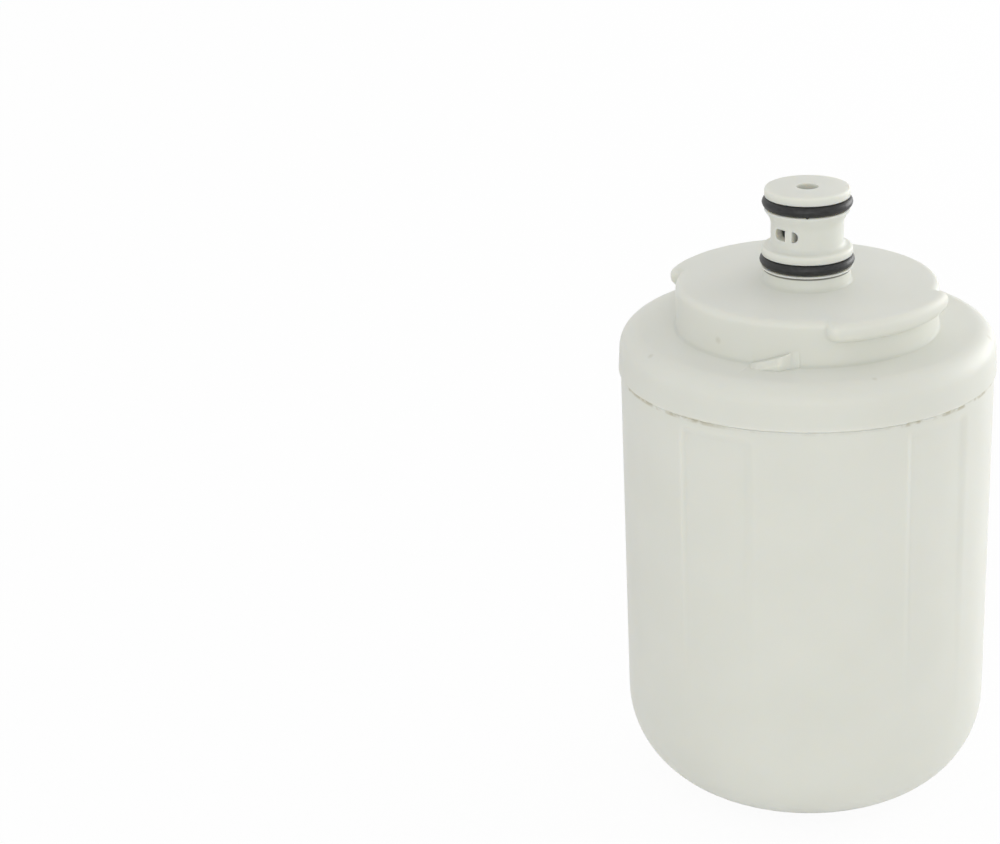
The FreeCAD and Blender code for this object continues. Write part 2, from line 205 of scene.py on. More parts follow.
seam_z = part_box("head_cap")[0].z / MM
tongue_top_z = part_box("housing_bowl")[1].z / MM
bowl_steps = FLUTES * STEPS_PER_FLUTE
bowl_step = 360 / bowl_steps
flute_edge = FLUTE_CENTRE - bowl_step * FLUTE_STEPS / 2
flute_top_z = seam_z - FLUTE_RIM_GAP
flute_low_z = flute_top_z - FLUTE_END_RUN
slope = math.tan(math.radians(DRAFT))
foot_r = RIM_R - seam_z * slope
inner_rim_r = RIM_R - BOWL_WALL
pip_z = FOOT_RECESS_DEPTH - GATE_PIP_HEIGHT
side_heights = [BASE_ROUND + (flute_low_z - BASE_ROUND) * row / SIDE_ROWS for row in range(1, SIDE_ROWS + 1)]
side_heights += [flute_low_z + FLUTE_END_RUN * row / FLUTE_END_ROWS for row in range(1, FLUTE_END_ROWS + 1)]
bowl_section = [
    (0, pip_z, 0),
    (GATE_PIP_R, pip_z, 0),
    (GATE_PIP_R, FOOT_RECESS_DEPTH, 0),
    (FOOT_RECESS_R - FOOT_RECESS_DEPTH, FOOT_RECESS_DEPTH, 0),
    (FOOT_RECESS_R, 0, 0),
    (foot_r, 0, BASE_ROUND),
    *[(RIM_R - (seam_z - z) * slope, z, 0) for z in side_heights],
    (RIM_R - RIM_CHAMFER * slope, seam_z - RIM_CHAMFER, 0),
    (RIM_R - RIM_CHAMFER, seam_z, 0),
    (RIM_R - RIM_LAND, seam_z, 0),
    (RIM_R - RIM_LAND, tongue_top_z, 0),
    (inner_rim_r, tongue_top_z, 0),
    (inner_rim_r, seam_z, 0),
    (foot_r - BOWL_WALL, BOWL_WALL, BASE_ROUND - BOWL_WALL),
    (0, BOWL_WALL, 0),
]
bowl = spun(rounded(bowl_section), flute_edge, bowl_steps)
print("bowl after the spin:", len(bowl.data.vertices), "vertices, a step of", round(bowl_step, 3), "degrees")

# %% [markdown]
# Five shallow grip flutes run down the side. They are deepest under the seam and fade out towards the
# foot, because their floor is upright while the side leans in. The spin's steps divide the flutes evenly,
# so a vertex is either inside a flute or not. Those inside move straight in to the floor. Near the flute's
# edges and at its upper end they move only part of the way, eased, because the edges of a moulded flute
# are soft. The far edge is softer than the near one, so it shows only where the light comes from the side.

# %% Press the grip flutes into the bowl
FLUTE_DEPTH = 0.65
FLUTE_NEAR_STEPS = 3
FLUTE_FAR_STEPS = 6
MOULDING_SMOOTH = 35

flute_floor_r = RIM_R - FLUTE_DEPTH


def eased(share):
    """A rise from 0 to 1 that starts and ends level."""
    share = min(max(share, 0), 1)
    return share ** 2 * (3 - 2 * share)


def flute_column(place):
    """How many spin steps the place lies past the nearest flute edge before it."""
    return round((turn_of(place) - flute_edge) / bowl_step) % STEPS_PER_FLUTE


pressed = 0
for vertex in bowl.data.vertices:
    place = vertex.co / MM
    radius = reach_of(place)
    column = flute_column(place)
    if radius > flute_floor_r and place.z < flute_top_z and 0 < column < FLUTE_STEPS:
        across = eased(column / FLUTE_NEAR_STEPS) * eased((FLUTE_STEPS - column) / FLUTE_FAR_STEPS)
        along = eased((flute_top_z - place.z) / FLUTE_END_RUN)
        move_out(vertex, radius + (flute_floor_r - radius) * across * along)
        pressed += 1
print("vertices pressed in:", pressed)
settle(bowl, "bowl_shell", MOULDING_SMOOTH)

# %% [markdown]
# ## The head
#
# The head is the most skilled moulding of the object. Outside, from the top down, it has a spigot with two
# ring grooves and a narrow waist, a flat-topped neck, a shoulder and a skirt. Inside it has the outlet
# tube and the socket for the filter block. The grooves have to fit the ring seals, so the model's seals
# are measured first. Each seal stands a little proud of the land beside it and has a little play in its
# groove.

# %% Measure the seals and set out their grooves
GROOVE_PLAY = 0.09
GROOVE_DEPTH_PLAY = 0.05
LOWER_PROUD = 0.45
UPPER_PROUD = 0.6


def ring_sizes(node):
    """A ring's outer radius, cord radius and middle height."""
    low, high = (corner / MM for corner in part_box(node))
    return (high.x - low.x) / 2, (high.z - low.z) / 2, (low.z + high.z) / 2


lower_r, cord_r, lower_z = ring_sizes("lower_o_ring")
upper_r, cord_r, upper_z = ring_sizes("upper_o_ring")
half_groove = cord_r + GROOVE_PLAY
lower_land_r = lower_r - LOWER_PROUD
upper_land_r = upper_r - UPPER_PROUD
lower_floor_r = lower_r - 2 * cord_r - GROOVE_DEPTH_PLAY
upper_floor_r = upper_r - 2 * cord_r - GROOVE_DEPTH_PLAY
print("seals reach", round(lower_r, 2), "and", round(upper_r, 2), "mm out, cord", round(2 * cord_r, 2), "mm")

# %% [markdown]
# The other heights follow from the grooves, from the joint with the bowl and from the top of the model.
# The waist lies above the lower groove, the neck's flat top lies below it, and the lugs hang down from
# that top. The socket is where the filter block's nipple ends.

# %% Set out the heights and radii of the head
COLLAR_HEIGHT = 3.9
COLLAR_INSET = 0.4
COLLAR_LIP = 0.45
LUG_HEIGHT = 4.9
LOWER_LAND = 2.0
WAIST_DEPTH = 1.5
WAIST_HEIGHT = 6.6
SHOULDER_HEIGHT = 10.5
SPIGOT_WALL = 1.8
SPIGOT_ROOF = 1.4
SOCKET_Z = 111.7
SOCKET_DEPTH = 9.0

top_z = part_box("head_cap")[1].z / MM
collar_r = lower_land_r - COLLAR_INSET
waist_r = upper_land_r - WAIST_DEPTH
bore_r = upper_floor_r - SPIGOT_WALL
lip_z = lower_z - half_groove - COLLAR_LIP
neck_z = lower_z - half_groove - COLLAR_HEIGHT
lug_z = neck_z - LUG_HEIGHT
waist_z = lower_z + half_groove + LOWER_LAND
flare_z = waist_z + WAIST_HEIGHT
shoulder_z = seam_z + SHOULDER_HEIGHT
socket_roof_z = SOCKET_Z + SOCKET_DEPTH
roof_z = upper_z - half_groove - SPIGOT_ROOF
print("neck from", round(shoulder_z, 2), "to", round(neck_z, 2), "mm, top at", round(top_z, 2), "mm")

# %% [markdown]
# All of that is turned, so the head starts as one closed section, drawn from the outlet's upper edge down
# the outside and up again inside. Extra points are left where the bayonet lugs and the ramps will be
# pulled out of the neck. Two rows close together under the lugs keep their shading off the neck's long
# faces below.

# %% Spin the head
HEAD_STEPS = 720
LIP_R = 44.83
LIP_CHAMFER = 0.3
SKIRT_DRAFT = 3.0
SHOULDER_ROUND = 5.0
HEAD_WALL = 2.8
NECK_R = 31.0
NECK_EDGE_ROUND = 1.7
NECK_ROOT_ROUND = 0.7
LUG_EDGE_ROUND = 2.5
LUG_EDGE_STEPS = 4
ROW_GAP = 0.02
LAND_ROUND = 0.25
LOWER_LAND_ROUND = 0.8
WAIST_ROUND = 1.2
FLARE_HEIGHT = 2.1
FLARE_ROUND = 4.0
TOP_ROUND = 0.6
OUTLET_R = 2.6
TUBE_R = 3.9
SOCKET_R = 5.0
SOCKET_WALL = 2.0

skirt_lean = math.tan(math.radians(SKIRT_DRAFT))
lug_rows = [1 - math.sin(math.radians(90 * row / LUG_EDGE_STEPS)) for row in range(LUG_EDGE_STEPS + 1)]
head_section = [
    (OUTLET_R, top_z, 0),
    (upper_land_r, top_z, TOP_ROUND),
    (upper_land_r, upper_z + half_groove, LAND_ROUND),
    (upper_floor_r, upper_z + half_groove, 0),
    (upper_floor_r, upper_z - half_groove, 0),
    (upper_land_r, upper_z - half_groove, LAND_ROUND / 2),
    (upper_land_r, flare_z + FLARE_HEIGHT, LAND_ROUND),
    (waist_r, flare_z, FLARE_ROUND),
    (waist_r, waist_z, WAIST_ROUND),
    (lower_land_r, waist_z, LOWER_LAND_ROUND),
    (lower_land_r, lower_z + half_groove, LAND_ROUND),
    (lower_floor_r, lower_z + half_groove, 0),
    (lower_floor_r, lower_z - half_groove, 0),
    (lower_land_r, lower_z - half_groove, LAND_ROUND / 2),
    (lower_land_r, lip_z, LAND_ROUND / 2),
    (collar_r, lip_z, 0),
    (collar_r, neck_z, NECK_ROOT_ROUND),
    (NECK_R, neck_z, NECK_EDGE_ROUND),
    *[(NECK_R, lug_z + LUG_EDGE_ROUND * row, 0) for row in lug_rows],
    (NECK_R, lug_z - ROW_GAP, 0),
    (NECK_R, lug_z - 2 * ROW_GAP, 0),
    (NECK_R, shoulder_z, NECK_ROOT_ROUND),
    (LIP_R - SHOULDER_HEIGHT * skirt_lean, shoulder_z, SHOULDER_ROUND),
    (LIP_R - LIP_CHAMFER * skirt_lean, seam_z + LIP_CHAMFER, 0),
    (LIP_R - LIP_CHAMFER, seam_z, 0),
    (RIM_R - RIM_LAND, seam_z, 0),
    (RIM_R - RIM_LAND, shoulder_z - HEAD_WALL, 0),
    (NECK_R - HEAD_WALL, shoulder_z - HEAD_WALL, 0),
    (NECK_R - HEAD_WALL, neck_z - HEAD_WALL, 0),
    (bore_r, neck_z - HEAD_WALL, 0),
    (bore_r, roof_z, 0),
    (TUBE_R, roof_z, 0),
    (TUBE_R, socket_roof_z + SOCKET_WALL, 0),
    (SOCKET_R + SOCKET_WALL, socket_roof_z, 0),
    (SOCKET_R + SOCKET_WALL, SOCKET_Z, 0),
    (SOCKET_R, SOCKET_Z, 0),
    (SOCKET_R, socket_roof_z, 0),
    (OUTLET_R, socket_roof_z, 0),
]
head_points = rounded(head_section)
head = spun([*head_points, head_points[0]], 0, HEAD_STEPS)
print("head after the spin:", len(head.data.vertices), "vertices")

# %% [markdown]
# Two bayonet lugs overhang the neck, opposite each other. They turn under two hooks in the appliance and
# pull the spigot home. Seen from above, the outline leaves the neck in a small inside round, steps out,
# and runs into a larger outside round. The vertices of the neck's rim follow that outline. Where the rim
# is rounded over, the lug's end draws back by the same amount, so that the round carries on round the end.

# %% Pull out the bayonet lugs
LUG_ANGLE = 43.0
LUG_SPAN = 68.0
LUG_OVERHANG = 3.0
LUG_END_ROUND = 2.1
LUG_ROOT_ROUND = 1.1
NEAR = 0.01


def off_pair(place, angle):
    """Degrees from the nearer of two opposite features, of which one faces that angle."""
    return (turn_of(place) - angle + 90) % 180 - 90


def quarter_round(run, radius):
    """The rise of a quarter round at that run past its upright start."""
    return math.sqrt(radius ** 2 - (radius - min(run, radius)) ** 2)


def lug_reach(run):
    """How far the outline stands out from the neck at that run past a lug's end."""
    if run < -LUG_ROOT_ROUND:
        return 0
    if run < 0:
        return LUG_ROOT_ROUND - math.sqrt(LUG_ROOT_ROUND ** 2 - (run + LUG_ROOT_ROUND) ** 2)
    return LUG_OVERHANG - LUG_END_ROUND + quarter_round(run, LUG_END_ROUND)


for vertex in head.data.vertices:
    place = vertex.co / MM
    radius = reach_of(place)
    on_rim = NECK_R - NECK_EDGE_ROUND - NEAR < radius < NECK_R + NEAR and place.z > lug_z - NEAR
    if on_rim:
        above = min(place.z - lug_z, LUG_EDGE_ROUND)
        undercut = LUG_EDGE_ROUND - quarter_round(max(above, 0), LUG_EDGE_ROUND)
        half_span = math.radians(LUG_SPAN / 2 - abs(off_pair(place, LUG_ANGLE))) * NECK_R
        reach = lug_reach(half_span - (NECK_R - radius) - undercut)
        move_out(vertex, radius + reach * (1 - undercut / LUG_OVERHANG))
reaches = [reach_of(vertex.co / MM) for vertex in head.data.vertices if vertex.co.z / MM > lug_z]
print("lugs reach", round(max(reaches), 2), "mm out")

# %% [markdown]
# At the neck's foot stands a ramp beside each lug. It is a wedge that lifts the cartridge off its seals
# when it is turned to be taken out. Four rows of vertices round the neck's root become the wedge's inner
# crease, the two sides of its bevelled edge and its outer foot. No two rows ever meet, so no face loses
# its area. At the tall end the two lower rows start from the neck's own root, so the wedge grows out of
# the neck without a step.

# %% Raise the ramps
RAMP_ANGLE = -13.3
RAMP_SPAN = 20.6
RAMP_DEPTH = 3.0
RAMP_HEIGHT = 4.2
RAMP_TIP = 0.3
RAMP_EDGE = 1.3
RAMP_LEAST = 0.05
RAMP_END_ROUND = 2.5
RAMP_END_RUN = 4.5
CREST_ROWS = 2


def ramp_section(past):
    """The wedge's four points (r, z) that far past its middle, and how far it has grown out of the root."""
    run = math.radians(RAMP_SPAN / 2 - abs(past)) * NECK_R
    if past < 0:
        grown = 1
        outer_r = NECK_R + RAMP_DEPTH - RAMP_END_ROUND + quarter_round(run, RAMP_END_ROUND)
    else:
        grown = eased(run / RAMP_END_RUN)
        outer_r = NECK_R + NECK_ROOT_ROUND + (RAMP_DEPTH - NECK_ROOT_ROUND) * grown
    crest_z = shoulder_z + RAMP_TIP + (RAMP_HEIGHT - RAMP_TIP) * (past / RAMP_SPAN + 0.5)
    edge_r = max(outer_r - RAMP_EDGE, NECK_R + RAMP_LEAST)
    face_z = max(crest_z - RAMP_EDGE, shoulder_z + RAMP_LEAST)
    return [(NECK_R, crest_z), (edge_r, crest_z), (outer_r, face_z), (outer_r, shoulder_z)], grown


root_corners = [(NECK_R, neck_z, 0), (NECK_R, shoulder_z, NECK_ROOT_ROUND), (LIP_R, shoulder_z, 0)]
root_rows = rounded(root_corners)[1:-1]
moved = 0
for vertex in head.data.vertices:
    place = vertex.co / MM
    past = off_pair(place, RAMP_ANGLE)
    if abs(past) > RAMP_SPAN / 2:
        continue
    here = Vector((reach_of(place), place.z))
    row = next((i for i, point in enumerate(root_rows) if (here - point).length < NEAR), None)
    if row is None:
        continue
    wedge, grown = ramp_section(past)
    new_r, new_z = wedge[row]
    if row >= CREST_ROWS:
        new_r, new_z = here.lerp(Vector(wedge[row]), grown)
    move_out(vertex, new_r)
    vertex.co.z = new_z * MM
    moved += 1
print("ramp vertices:", moved)

# %% [markdown]
# ## Cutting and welding
#
# The last features of the head aren't turned. A hole is easiest to cut with a boolean, and a boolean can
# weld a block on too. The blocks are drawn at the front, where their sizes are easy to give, and then
# turned about the axis to the angle that they face.

# %% Helpers for cutting and welding
def block(low, high):
    """A box between two corners in mm, as the active object, in edit mode with everything selected."""
    activate(None)
    middle = (Vector(low) + Vector(high)) / 2 * MM
    bpy.ops.mesh.primitive_cube_add(size=1, location=middle)
    bpy.ops.object.mode_set(mode="EDIT")
    bpy.ops.mesh.select_all(action="SELECT")
    bpy.ops.transform.resize(value=(Vector(high) - Vector(low)) * MM, center_override=middle)
    return bpy.context.object


def face_turn(piece, turn):
    """Turn a piece that was drawn at the front about the axis, to face that angle."""
    activate(piece)
    bpy.ops.object.transform_apply(location=True, rotation=False, scale=False)
    piece.rotation_euler.z = math.radians(turn)
    bpy.ops.object.transform_apply(location=False, rotation=True, scale=False)


def combine(base, tools, operation):
    """Cut the tools from the base, or weld them on, all at once, and remove them."""
    tool = tools[0]
    activate(tool)
    for other in tools[1:]:
        other.select_set(True)
    bpy.ops.object.join()
    activate(base)
    boolean = base.modifiers.new(operation.lower(), "BOOLEAN")
    boolean.operation = operation
    boolean.solver = "MANIFOLD"
    boolean.object = tool
    bpy.ops.object.modifier_apply(modifier=boolean.name)
    bpy.data.objects.remove(tool)

# %% [markdown]
# Water enters through two ports in the spigot's waist. Each is a slot with round ends, and a bar is left
# standing across it. A box with its four long edges bevelled is the slot, and bisecting it on both sides
# of the bar leaves two cutters.

# %% Cut the inlet ports
PORT_ANGLE = -37.2
PORT_SPAN = 45.4
PORT_HEIGHT = 2.7
PORT_CORNER = 1.25
PORT_RISE = 4.0
CORNER_STEPS = 8
RIB_ANGLE = -30.9
RIB_THICKNESS = 1.8

port_z = waist_z + PORT_RISE
port_width = 2 * waist_r * math.sin(math.radians(PORT_SPAN / 2))
port_back_r = (bore_r + TUBE_R) / 2
bar_turn = math.radians(RIB_ANGLE - PORT_ANGLE)
bar_side = Vector((math.cos(bar_turn), math.sin(bar_turn), 0))
cutters = []
for opposite in (0, 180):
    for side in (-1, 1):
        cutter = block((-port_width / 2, -lower_r, port_z - PORT_HEIGHT / 2),
                       (port_width / 2, -port_back_r, port_z + PORT_HEIGHT / 2))
        bpy.ops.mesh.select_mode(type="EDGE")
        bpy.ops.mesh.select_all(action="DESELECT")
        bpy.ops.object.mode_set(mode="OBJECT")
        corners = cutter.data.vertices
        for edge in cutter.data.edges:
            along = corners[edge.vertices[0]].co - corners[edge.vertices[1]].co
            edge.select = abs(along.y) > NEAR * MM
        bpy.ops.object.mode_set(mode="EDIT")
        bpy.ops.mesh.bevel(offset=PORT_CORNER * MM, segments=CORNER_STEPS, affect="EDGES")
        bpy.ops.mesh.select_all(action="SELECT")
        face = bar_side * side * RIB_THICKNESS / 2 * MM
        bpy.ops.mesh.bisect(plane_co=face, plane_no=bar_side * side, clear_inner=True, use_fill=True)
        face_turn(cutter, PORT_ANGLE + opposite)
        cutters.append(cutter)
print("port cutters:", len(cutters), "at", round(port_z, 2), "mm")
combine(head, cutters, "DIFFERENCE")

# %% [markdown]
# Behind each bar an inner rib joins the spigot's wall to the outlet tube. Its root is sunk a little into
# both, so the union has something to hold on to.

# %% Weld in the ribs
RIB_ROOT = 0.5

ribs = []
for opposite in (0, 180):
    rib = block((-RIB_THICKNESS / 2, -bore_r - RIB_ROOT, neck_z - HEAD_WALL + RIB_ROOT),
                (RIB_THICKNESS / 2, -TUBE_R + RIB_ROOT, roof_z + RIB_ROOT))
    face_turn(rib, RIB_ANGLE + opposite)
    ribs.append(rib)
combine(head, ribs, "UNION")
settle(head, "head_moulding", MOULDING_SMOOTH)

# %% [markdown]
# ## The ring seals
#
# Each seal is a moulded rubber ring of round section. The two halves of its mould leave a hair-fine ridge
# round the ring's widest line. A torus is the right start, and pulling that one line of vertices out gives
# the ridge. The upper ring also has a small nib at the front, where the rubber was torn from its feed. It
# is drawn down from one spot on the ring's lower front, and proportional editing lets the rubber round it
# follow.

# %% Mould the two ring seals
RING_STEPS = 256
CORD_STEPS = 48
RIDGE_HEIGHT = 0.04
RIDGE_NEAR = 0.001
SEAL_SMOOTH = 80
NIB_SIZE = 0.7
NIB_HEIGHT = 0.55
NIB_INSET_SHARE = 0.3
NIB_DROP_SHARE = 0.7
NIB_SPOT_SHARE = 0.125


def ring_seal(node, name):
    """A rubber ring in the place of that node, with the mould's ridge round its outside."""
    outer_r, cord_r, middle_z = ring_sizes(node)
    outer_r -= RIDGE_HEIGHT
    activate(None)
    bpy.ops.mesh.primitive_torus_add(
        major_radius=(outer_r - cord_r) * MM, minor_radius=cord_r * MM, major_segments=RING_STEPS,
        minor_segments=CORD_STEPS, location=(0, 0, middle_z * MM),
    )
    piece = bpy.context.object
    bpy.ops.object.transform_apply(location=True, rotation=False, scale=False)
    edit_where(piece, lambda place: reach_of(place) > outer_r - RIDGE_NEAR)
    widening = 1 + RIDGE_HEIGHT / outer_r
    bpy.ops.transform.resize(value=(widening, widening, 1), center_override=(0, 0, middle_z * MM))
    settle(piece, name, SEAL_SMOOTH)
    return piece


upper_seal = ring_seal("upper_o_ring", "upper_ring_seal")
lower_seal = ring_seal("lower_o_ring", "lower_ring_seal")
nib = Vector((0, -upper_r + cord_r * NIB_INSET_SHARE, upper_z - cord_r * NIB_DROP_SHARE))
edit_where(upper_seal, lambda place: (place - nib).length < cord_r * NIB_SPOT_SHARE)
bpy.ops.transform.translate(
    value=Vector((0, 0, -NIB_HEIGHT)) * MM, use_proportional_edit=True, proportional_size=NIB_SIZE * MM,
)
settle(upper_seal, "upper_ring_seal", SEAL_SMOOTH)

# %% [markdown]
# ## Finishes
#
# A finish is a small network of nodes. One function adds a node, sets its sockets and links it, so each
# finish reads as a list of what it is made of. Colours are written as they look on a screen, in sRGB hex,
# and turned into the linear values that the renderer works in. Patterns are sized in millimetres, and they
# read Object coordinates: every piece sits at the origin, so a pattern stays the same size on all of them.

# %% Helpers for the finishes
MIX_A = 6
MIX_B = 7
MIX_RESULT = 2


def linear(hex_colour):
    """A linear RGBA colour from an sRGB hex value such as #D8DACF."""
    channels = [int(hex_colour[i:i + 2], 16) / 255 for i in (1, 3, 5)]
    curve = [c / 12.92 if c <= 0.04045 else ((c + 0.055) / 1.055) ** 2.4 for c in channels]
    return (*curve, 1.0)


def per_mm(size):
    """The scale of a pattern whose features are that many millimetres across."""
    return 1 / (size * MM)


def add(tree, kind, sockets=None, **settings):
    """Add a node with its settings, and with each socket set to a value or linked to an output."""
    node = tree.nodes.new(kind)
    for name, value in settings.items():
        setattr(node, name, value)
    for name, value in (sockets or {}).items():
        if isinstance(value, bpy.types.NodeSocket):
            tree.links.new(value, node.inputs[name])
        else:
            node.inputs[name].default_value = value
    return node


def new_finish(name, **shader_sockets):
    """A new material, its node tree, its Principled shader with those sockets set, and Object coordinates."""
    material = bpy.data.materials.new(name)
    material.use_nodes = True
    tree = material.node_tree
    shader = tree.nodes["Principled BSDF"]
    for socket, value in shader_sockets.items():
        shader.inputs[socket.replace("_", " ")].default_value = value
    place = add(tree, "ShaderNodeTexCoord").outputs["Object"]
    return material, tree, shader, place

# %% [markdown]
# ### Painted shade and dirt
#
# Dark lines are painted into the plastic's colour: dashes of painted shade with dirt in them along the weld
# seam, painted shade at the roots of the neck and the collar, and painted shade in the gap under the collar's
# lip. Each such line is a ring, which is where the radius and the height are both near a circle, and noise
# breaks it into dashes. A ring can be kept faint at the front, as the seam's is. Single specks are small
# balls of colour.

# %% Helpers for painted shade and dirt
NOISE_DETAIL = 2.0
RING_CORE = 3
DASH_LOW = 0.55
DASH_HIGH = 0.7
COVER_SHIFT = 0.3
FRONT_SHARE = 0.15
FRONT_FADE = 8
SPECK_CORE_SHARE = 0.25


def tinted(tree, amount, colour, tint):
    """The colour, mixed with the tint by that amount."""
    sockets = {"Factor": amount, MIX_A: colour, MIX_B: linear(tint)}
    return add(tree, "ShaderNodeMix", sockets, data_type="RGBA").outputs[MIX_RESULT]


def with_shade_and_dirt_rings(tree, place, colour, rings):
    """The colour with rings of painted shade and dirt on it, each given as a dictionary of its sizes in mm,
    cover and tint.
    """
    axes = add(tree, "ShaderNodeSeparateXYZ", {0: place}).outputs
    aside = add(tree, "ShaderNodeMath", {0: axes["X"]}, operation="ABSOLUTE").outputs[0]
    flat = add(tree, "ShaderNodeVectorMath", {0: place, 1: (1, 1, 0)}, operation="MULTIPLY").outputs["Vector"]
    radius = add(tree, "ShaderNodeVectorMath", {0: flat}, operation="LENGTH").outputs["Value"]
    section = add(tree, "ShaderNodeCombineXYZ", {"X": radius, "Z": axes["Z"]}).outputs[0]
    # Each ring mixes its tint into the colour: painted shade, with dirt in the seam's dashes.
    for ring in rings:
        circle = Vector((ring["radius"], 0, ring["height"])) * MM
        off = add(tree, "ShaderNodeVectorMath", {0: section, 1: circle}, operation="DISTANCE")
        width = ring["width"] * MM
        near = add(tree, "ShaderNodeMapRange", {
            "Value": off.outputs["Value"], "From Min": width, "From Max": width / RING_CORE})
        breaks = add(tree, "ShaderNodeTexNoise",
                     {"Vector": place, "Scale": per_mm(ring["dash"]), "Detail": NOISE_DETAIL})
        shift = ring["cover"] * COVER_SHIFT
        dashes = add(tree, "ShaderNodeMapRange", {
            "Value": breaks.outputs["Fac"], "From Min": DASH_LOW - shift, "From Max": DASH_HIGH - shift})
        sides = add(tree, "ShaderNodeMapRange", {
            "Value": aside, "From Min": ring["front_faint"] * MM, "From Max": (ring["front_faint"] + FRONT_FADE) * MM,
            "To Min": FRONT_SHARE})
        amount = near.outputs[0]
        for limit in (dashes, sides):
            product = add(tree, "ShaderNodeMath", {0: amount, 1: limit.outputs[0]}, operation="MULTIPLY")
            amount = product.outputs[0]
        colour = tinted(tree, amount, colour, ring["tint"])
    return colour


def specked(tree, place, colour, specks, tint):
    """The colour with a small spot of the tint at each speck's place, as wide as its size."""
    for middle, size in specks:
        off = add(tree, "ShaderNodeVectorMath", {0: place, 1: Vector(middle) * MM}, operation="DISTANCE")
        spot_r = size * MM / 2
        spot = add(tree, "ShaderNodeMapRange", {
            "Value": off.outputs["Value"], "From Min": spot_r, "From Max": spot_r * SPECK_CORE_SHARE})
        colour = tinted(tree, spot.outputs[0], colour, tint)
    return colour

# %% [markdown]
# ### Moulded polypropylene
#
# Polypropylene is a waxy plastic. Light goes a millimetre or two into it before it comes out again, which
# softens every edge and keeps the inside of a hole pale. Its surface has the dull sheen of a finely eroded
# mould. This plastic is a warm, slightly greenish off-white, and it is only a very little cloudy.

# %% Off-white polypropylene, moulded
CLOUD_SIZE = 22
SCATTER_DEPTH = 1.4
LEAST_ROUGHNESS = 0.42
MOST_ROUGHNESS = 0.56
GRAIN_SIZE = 0.5
GRAIN_HEIGHT = 0.02
GRAIN_STRENGTH = 0.25
SPECK_TINT = "#D4D4C8"


def polypropylene(name, tints, rings, specks):
    """Satin moulded polypropylene, cloudy between two tints, with rings of painted shade and dirt and single
    specks on it.
    """
    # The scatter gives the waxy depth, and the wandering roughness a sheen that isn't even.
    material, tree, shader, place = new_finish(
        name, IOR=1.49, Specular_IOR_Level=0.35, Subsurface_Weight=1.0, Subsurface_Scale=SCATTER_DEPTH * MM,
        Subsurface_Radius=(1.0, 0.9, 0.75))
    cloud = add(tree, "ShaderNodeTexNoise",
                {"Vector": place, "Scale": per_mm(CLOUD_SIZE), "Detail": NOISE_DETAIL}).outputs["Fac"]
    pale, deep = tints
    colour = tinted(tree, cloud, linear(pale), deep)
    # Rings of painted shade, with dirt in the seam's dashes.
    colour = with_shade_and_dirt_rings(tree, place, colour, rings)
    colour = specked(tree, place, colour, specks, SPECK_TINT)
    sheen = add(tree, "ShaderNodeMapRange",
                {"Value": cloud, "To Min": LEAST_ROUGHNESS, "To Max": MOST_ROUGHNESS})
    # The mould's real grain, about a tenth of a millimetre, is too fine to show, so it is drawn coarser.
    # It takes the edge off the reflections.
    grain = add(tree, "ShaderNodeTexNoise",
                {"Vector": place, "Scale": per_mm(GRAIN_SIZE), "Detail": NOISE_DETAIL})
    peel = add(tree, "ShaderNodeBump", {
        "Height": grain.outputs["Fac"], "Strength": GRAIN_STRENGTH, "Distance": GRAIN_HEIGHT * MM})
    tree.links.new(colour, shader.inputs["Base Color"])
    tree.links.new(sheen.outputs[0], shader.inputs["Roughness"])
    tree.links.new(peel.outputs[0], shader.inputs["Normal"])
    return material

# %% [markdown]
# The bowl and the head are two mouldings of nearly the same tint. Dashes of painted shade with dirt lie along
# the seam on both of them, on either side of the joint and not in front. The roots of the neck and the collar
# get only a little painted shade, and the narrow gap under the collar's lip is painted dark all round as
# shade.

# %% Plastic of the bowl and of the head, with painted shade and dirt
BOWL_TINTS = ("#E3E4DC", "#DDDED5")
HEAD_TINTS = ("#E2E3DB", "#DCDDD4")
# Painted shade under the lip, with dirt, in dashes along the seam.
SEAM_SHADE_AND_DIRT_TINT = "#C4C0AE"
# Painted shade at the roots of the neck and the collar.
CORNER_SHADE_TINT = "#DDDED4"
# Painted shade in the gap under the collar's lip.
GAP_SHADE_TINT = "#77776F"
FRONT_FAINT = 17
EVERYWHERE = -20

# The seam's ring is painted shade and dirt; the root and gap rings are painted shade.
seam_shade_and_dirt = {"dash": 3.5, "cover": 0.45, "front_faint": FRONT_FAINT, "tint": SEAM_SHADE_AND_DIRT_TINT}
corner_shade = {"width": 1.2, "cover": 0.9, "front_faint": EVERYWHERE, "tint": CORNER_SHADE_TINT}
gap_shade = {"width": 0.4, "dash": 6.0, "cover": 1.2, "front_faint": EVERYWHERE, "tint": GAP_SHADE_TINT}
bowl_rings = [{"radius": RIM_R, "height": seam_z - 0.4, "width": 0.7, **seam_shade_and_dirt}]
head_rings = [
    {"radius": LIP_R, "height": seam_z - 0.1, "width": 0.6, **seam_shade_and_dirt},
    {"radius": NECK_R, "height": shoulder_z, "dash": 9.0, **corner_shade},
    {"radius": collar_r, "height": neck_z, "dash": 6.0, **corner_shade},
    {"radius": collar_r, "height": lip_z - 0.2, **gap_shade},
]
head_specks = [
    ((-20.2, -23.5, 121.5), 2.2),
    ((15.2, -37.5, 117.4), 1.7),
    ((42.5, -6.0, 116.0), 2.4),
    ((-35.9, -21.6, 116.9), 2.0),
]
bowl_plastic = polypropylene("polypropylene bowl, moulded satin", BOWL_TINTS, bowl_rings, [])
head_plastic = polypropylene("polypropylene head, moulded satin", HEAD_TINTS, head_rings, head_specks)
# The rings are painted shade, with dirt in the seam's.
print("rings of shade and dirt:", len(bowl_rings) + len(head_rings), "and specks:", len(head_specks))

# %% [markdown]
# ### Rubber, carbon, felt and glue
#
# The other finishes are simpler. Each wanders between two colours in patches of a known size, and the same
# patches make a slight relief. Rubber has dust on it, a block of bonded carbon has grains, felt has fibres
# that run up and down, and set glue has streaks. Only the rubber shows, because the rest is sealed inside,
# but each piece of the model gets the finish that it really has.

# %% Finishes of the seals and of the inner pieces
PATCH_DETAIL = 4.0


